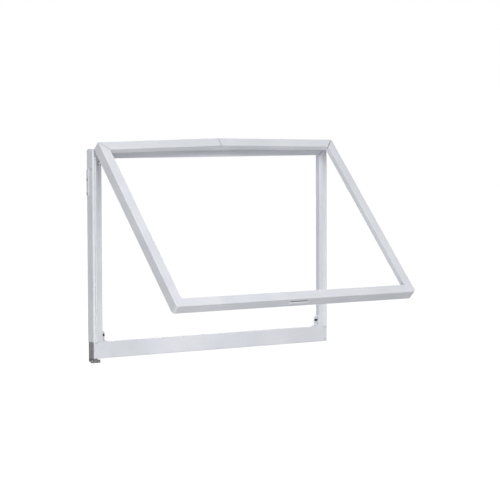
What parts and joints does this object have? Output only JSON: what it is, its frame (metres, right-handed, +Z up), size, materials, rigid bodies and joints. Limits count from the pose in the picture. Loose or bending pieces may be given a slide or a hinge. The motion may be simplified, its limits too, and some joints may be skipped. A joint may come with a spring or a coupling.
{
  "type": "top-hung window frame with crank",
  "caption": "Unglazed top-hung outward-opening sash on a fixed aluminium frame, moved by a crank at the sill through a rod and gears in the jamb.",
  "frame": {"origin": "middle of the bottom edge of the fixed frame, on the wall plane that the frame's back edge lies on", "axes": "+X to the right seen from outside, along the longest side; +Y into the wall; +Z up"},
  "size_m": [0.9238, 0.515, 0.7044],
  "materials": {
    "white_coat": "white powder coat, satin",
    "mill_aluminium": "mill finish",
    "seal_rubber": "pale grey, matt",
    "black_rubber": "matt",
    "screw_steel": "bright zinc plated",
    "dark_casting": "dark grey die casting",
    "zinc_casting": "tumbled casting",
    "nylon": "moulded natural nylon",
    "gear_steel": "machined"
  },
  "bodies": {
    "frame": {"bearing_block": "nylon", "bearing_block_screw": "screw_steel", "bracket_screws_left": "screw_steel", "bracket_screws_right": "screw_steel", "bumper_left": "black_rubber", "bumper_right": "black_rubber", "corner_bracket_left": "white_coat", "corner_bracket_right": "white_coat", "crank_housing": "dark_casting", "frame_head": "white_coat", "frame_jamb_left": "white_coat", "frame_jamb_right": "white_coat", "frame_key_left": "mill_aluminium", "frame_key_right": "mill_aluminium", "frame_sill": "white_coat", "hinge_bead_rail": "white_coat", "hinge_frame_screws": "white_coat", "housing_screws": "screw_steel", "rod_bush_lower": "nylon", "rod_bush_upper": "nylon", "seal_left": "seal_rubber", "seal_right": "seal_rubber", "strap_screws_left": "screw_steel", "strap_screws_right": "screw_steel", "wall_strap_left": "white_coat", "wall_strap_right": "white_coat"},
    "sash": {"drive_quadrant": "white_coat", "finger_pull_screws": "screw_steel", "hinge_sash_screws": "screw_steel", "hinge_socket_rail": "white_coat", "quadrant_screws": "screw_steel", "sash_bottom_rail": "white_coat", "sash_finger_pull": "white_coat", "sash_key_bottom_left": "mill_aluminium", "sash_key_bottom_right": "mill_aluminium", "sash_key_top_left": "mill_aluminium", "sash_key_top_right": "mill_aluminium", "sash_stile_left": "white_coat", "sash_stile_right": "white_coat", "sash_top_rail_left": "white_coat", "sash_top_rail_right": "white_coat", "top_rail_splice": "mill_aluminium"},
    "drive": {"crank_handle": "zinc_casting", "crank_set_screw": "screw_steel", "drive_rod": "gear_steel", "rod_collar": "zinc_casting", "rod_mitre_gear": "gear_steel"},
    "shaft": {"cross_shaft": "gear_steel", "drive_pinion": "gear_steel", "shaft_mitre_gear": "gear_steel"}
  },
  "joints": [
    {"name": "sash_hinge", "type": "hinge", "parent": "frame", "child": "sash", "pos_m": [0, -0.043, 0.656], "axis": [-1, 0, 0], "range_deg": [-43, 5]},
    {"name": "shaft_turn", "type": "hinge", "parent": "frame", "child": "shaft", "pos_m": [-0.436, -0.026, 0.61111], "axis": [1, 0, 0], "range_deg": [-390, 48]},
    {"name": "crank_turn", "type": "hinge", "parent": "frame", "child": "drive", "pos_m": [-0.446, -0.026, 0], "axis": [0, 0, 1], "range_deg": [-390, 48]}
  ],
  "couplings": [
    {"joint": "shaft_turn", "follows": "sash_hinge", "ratio": 9},
    {"joint": "crank_turn", "follows": "sash_hinge", "ratio": 9}
  ]
}
